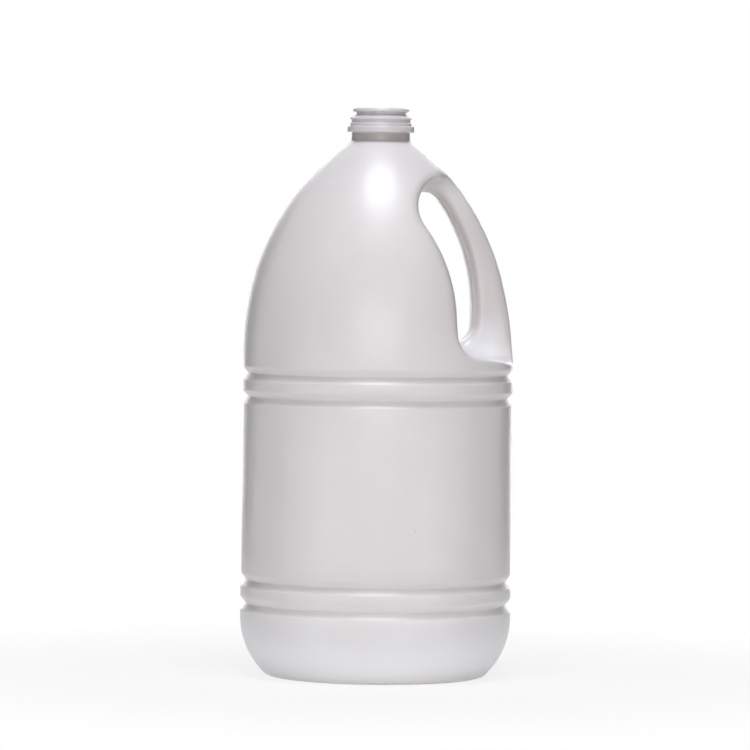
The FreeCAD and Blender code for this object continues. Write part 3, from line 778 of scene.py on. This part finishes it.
seam = y.line(0, SEAM_WIDTH)
flash = y.line(0, FLASH_WIDTH) * z.fade(*FLASH_RISE) * (1 - x.fade(*FLASH_SIDE))
insert = z.line(INSERT_LEVEL, INSERT_WIDTH)
grain = place.noise(GRAIN_SCALE)
dimple = place.noise(DIMPLE_SCALE)
swell = place.noise(SWELL_SCALE, 1)
relief = (
    grain * GRAIN_HEIGHT + dimple * DIMPLE_HEIGHT + swell * SWELL_HEIGHT
    + seam * SEAM_HEIGHT + flash * FLASH_HEIGHT * (place.noise(FLASH_SCALE) + 1) - insert * INSERT_HEIGHT
)
bump = start.node("ShaderNodeBump", None, {"Height": relief, "Distance": 1.0, "Strength": 1.0})

# %% Specks and gloss
SPECK_SCALE, SPECK_SIZE = 26, (0.008, 0.016)
ROUGHNESS, GRAIN_ROUGHNESS = 0.33, 0.10
SMEAR_SCALE, SMEAR_ROUGHNESS = 160, 0.08

speck_cells = place.node(
    "ShaderNodeTexVoronoi", None, {"Vector": place, "Scale": SPECK_SCALE}, output="Distance"
)
speck = 1 - speck_cells.fade(*SPECK_SIZE)
colour = speck.blend(colour, SPECK)
roughness = ROUGHNESS + place.noise(SMEAR_SCALE) * SMEAR_ROUGHNESS + grain * GRAIN_ROUGHNESS
shader = start.node(
    "ShaderNodeBsdfPrincipled", {"subsurface_method": "RANDOM_WALK"},
    {
        "Base Color": colour, "Roughness": roughness, "Normal": bump, "IOR": 1.5,
        "Specular IOR Level": 0.6,
        "Subsurface Weight": 0.5, "Subsurface Radius": (1.0, 0.95, 0.9), "Subsurface Scale": 0.003,
    },
)
start.node("ShaderNodeOutputMaterial", None, {"Surface": shader})
jug.data.materials.append(material)
print("polyethylene:", len(material.node_tree.nodes), "nodes")

# %% [markdown]
# ## Floor, background and light
# The jug stands on a plain white sweep. The floor keeps a faint shadow close by and fades into the plain
# white that the camera sees behind it. That white is for the camera, for reflections and for light that
# passes through; it hardly lights the jug.

# %% Floor
FLOOR_SIZE = 6.0
FLOOR_WHITE = (0.92, 0.92, 0.93, 1)
NEAR, FAR = 0.12, 0.42
PLAIN_SHARE = 0.82


def rays_that_look(start):
    """One for rays from the camera, off something glossy or through something clear."""
    kinds = ("Is Camera Ray", "Is Glossy Ray", "Is Transmission Ray")
    seen, glossy, through = (start.node("ShaderNodeLightPath", output=kind) for kind in kinds)
    return seen + glossy + through


floor_mesh = bmesh.new()
bmesh.ops.create_grid(floor_mesh, x_segments=1, y_segments=1, size=FLOOR_SIZE / 2)
floor = new_object("floor", floor_mesh)
material, start = new_finish("white_sweep")
spread = start.node("ShaderNodeTexCoord", output="Object")
away = spread.node("ShaderNodeVectorMath", {"operation": "LENGTH"}, {0: spread}, output="Value")
matt = start.node("ShaderNodeBsdfDiffuse", None, {"Color": FLOOR_WHITE})
plain = start.node("ShaderNodeEmission", None, {"Color": (1, 1, 1, 1), "Strength": 1.0})
share = rays_that_look(start) * (PLAIN_SHARE + away.fade(NEAR, FAR) * (1 - PLAIN_SHARE))
surface = start.node("ShaderNodeMixShader", None, {"Fac": share, 1: matt, 2: plain})
start.node("ShaderNodeOutputMaterial", None, {"Surface": surface})
floor.data.materials.append(material)

# %% World
AMBIENT = 0.02
world = bpy.data.worlds.new("white_room")
bpy.context.scene.world = world
world.use_nodes = True
world.node_tree.nodes.clear()
start = Signal(world.node_tree.nodes)
strength = AMBIENT + rays_that_look(start) * (1 - AMBIENT)
background = start.node("ShaderNodeBackground", None, {"Color": (1, 1, 1, 1), "Strength": strength})
start.node("ShaderNodeOutputWorld", None, {"Surface": background})

# %% [markdown]
# A large soft box in front shades the round body from the middle outwards, and two boxes overhead make
# the highlights on the shoulder and along the grooves. Small cards low down on both sides lift the base, and
# a wall at the back lights the grip from behind. Against a white room a glossy edge would melt away, so two
# black flags stand behind the jug: only its reflections see them, and they draw its outline.

# %% Lamps
MIDDLE = Vector((0, 0, 0.17))
COOL = (0.90, 0.93, 1.0)
CARD_RISE, CARD_DISTANCE, CARD_HEIGHT = -9, 0.9, 0.2


def towards(azimuth, elevation):
    """A direction from the jug. Azimuth 0 is towards the camera; 90 is to its right."""
    turned, raised = math.radians(azimuth), math.radians(elevation)
    level = to_camera * math.cos(turned) + to_right * math.sin(turned)
    return level * math.cos(raised) + Vector((0, 0, math.sin(raised)))


def facing_jug(azimuth, elevation, distance):
    """The place and turn of something flat that stands away from the jug and faces its middle."""
    away = towards(azimuth, elevation)
    return Matrix.Translation(MIDDLE + away * distance) @ away.to_track_quat("Z", "Y").to_matrix().to_4x4()


def soft_lamp(name, azimuth, elevation, distance, size, power, tint=(1, 1, 1)):
    """A soft box, which the camera doesn't see."""
    lamp = bpy.data.objects.new(name, bpy.data.lights.new(name, "AREA"))
    lamp.data.shape = "RECTANGLE"
    lamp.data.size, lamp.data.size_y = size
    lamp.data.energy = power
    lamp.data.color = tint
    lamp.matrix_world = facing_jug(azimuth, elevation, distance)
    lamp.visible_camera = False
    bpy.context.scene.collection.objects.link(lamp)


soft_lamp("over", 0, 78, 1.2, (0.5, 0.4), 6.5, COOL)
soft_lamp("over_long", 0, 71, 1.2, (0.45, 0.9), 3.5, COOL)
soft_lamp("front_wall", 0, 3, 2.2, (1.6, 1.2), 20)
for name, azimuth, width, power in (("card", 35, 0.4, 0.95), ("low_card", 60, 0.6, 0.85)):
    card = (width, CARD_HEIGHT)
    soft_lamp(f"left_{name}", -azimuth, CARD_RISE, CARD_DISTANCE, card, power)
    soft_lamp(f"right_{name}", azimuth, CARD_RISE, CARD_DISTANCE, card, power)
soft_lamp("back_wall", 180, 10, 1.6, (1.6, 1.2), 12)
print("lamps placed")

# %% Black flags
FLAG_AZIMUTH, FLAG_RISE, FLAG_DISTANCE = 140, 6, 1.0
FLAG_WIDTH, FLAG_HEIGHT = 0.5, 0.85
FLAG_BLACK = (0.06, 0.06, 0.06, 1)

material, start = new_finish("black_felt")
felt = start.node("ShaderNodeBsdfDiffuse", None, {"Color": FLAG_BLACK})
start.node("ShaderNodeOutputMaterial", None, {"Surface": felt})
for name, azimuth in (("left_flag", -FLAG_AZIMUTH), ("right_flag", FLAG_AZIMUTH)):
    flag_mesh = bmesh.new()
    bmesh.ops.create_grid(flag_mesh, x_segments=1, y_segments=1, size=0.5)
    bmesh.ops.scale(flag_mesh, vec=(FLAG_WIDTH, FLAG_HEIGHT, 1), verts=flag_mesh.verts)
    stand = facing_jug(azimuth, FLAG_RISE, FLAG_DISTANCE)
    bmesh.ops.transform(flag_mesh, matrix=stand, verts=flag_mesh.verts)
    flag = new_object(name, flag_mesh)
    flag.data.materials.append(material)
    flag.visible_camera = flag.visible_diffuse = flag.visible_shadow = flag.visible_transmission = False
print("flags placed")

# %% [markdown]
# ## Finish
# The picture keeps its colours plain, through the Standard view transform.

# %% Finish
bpy.context.scene.view_settings.view_transform = "Standard"
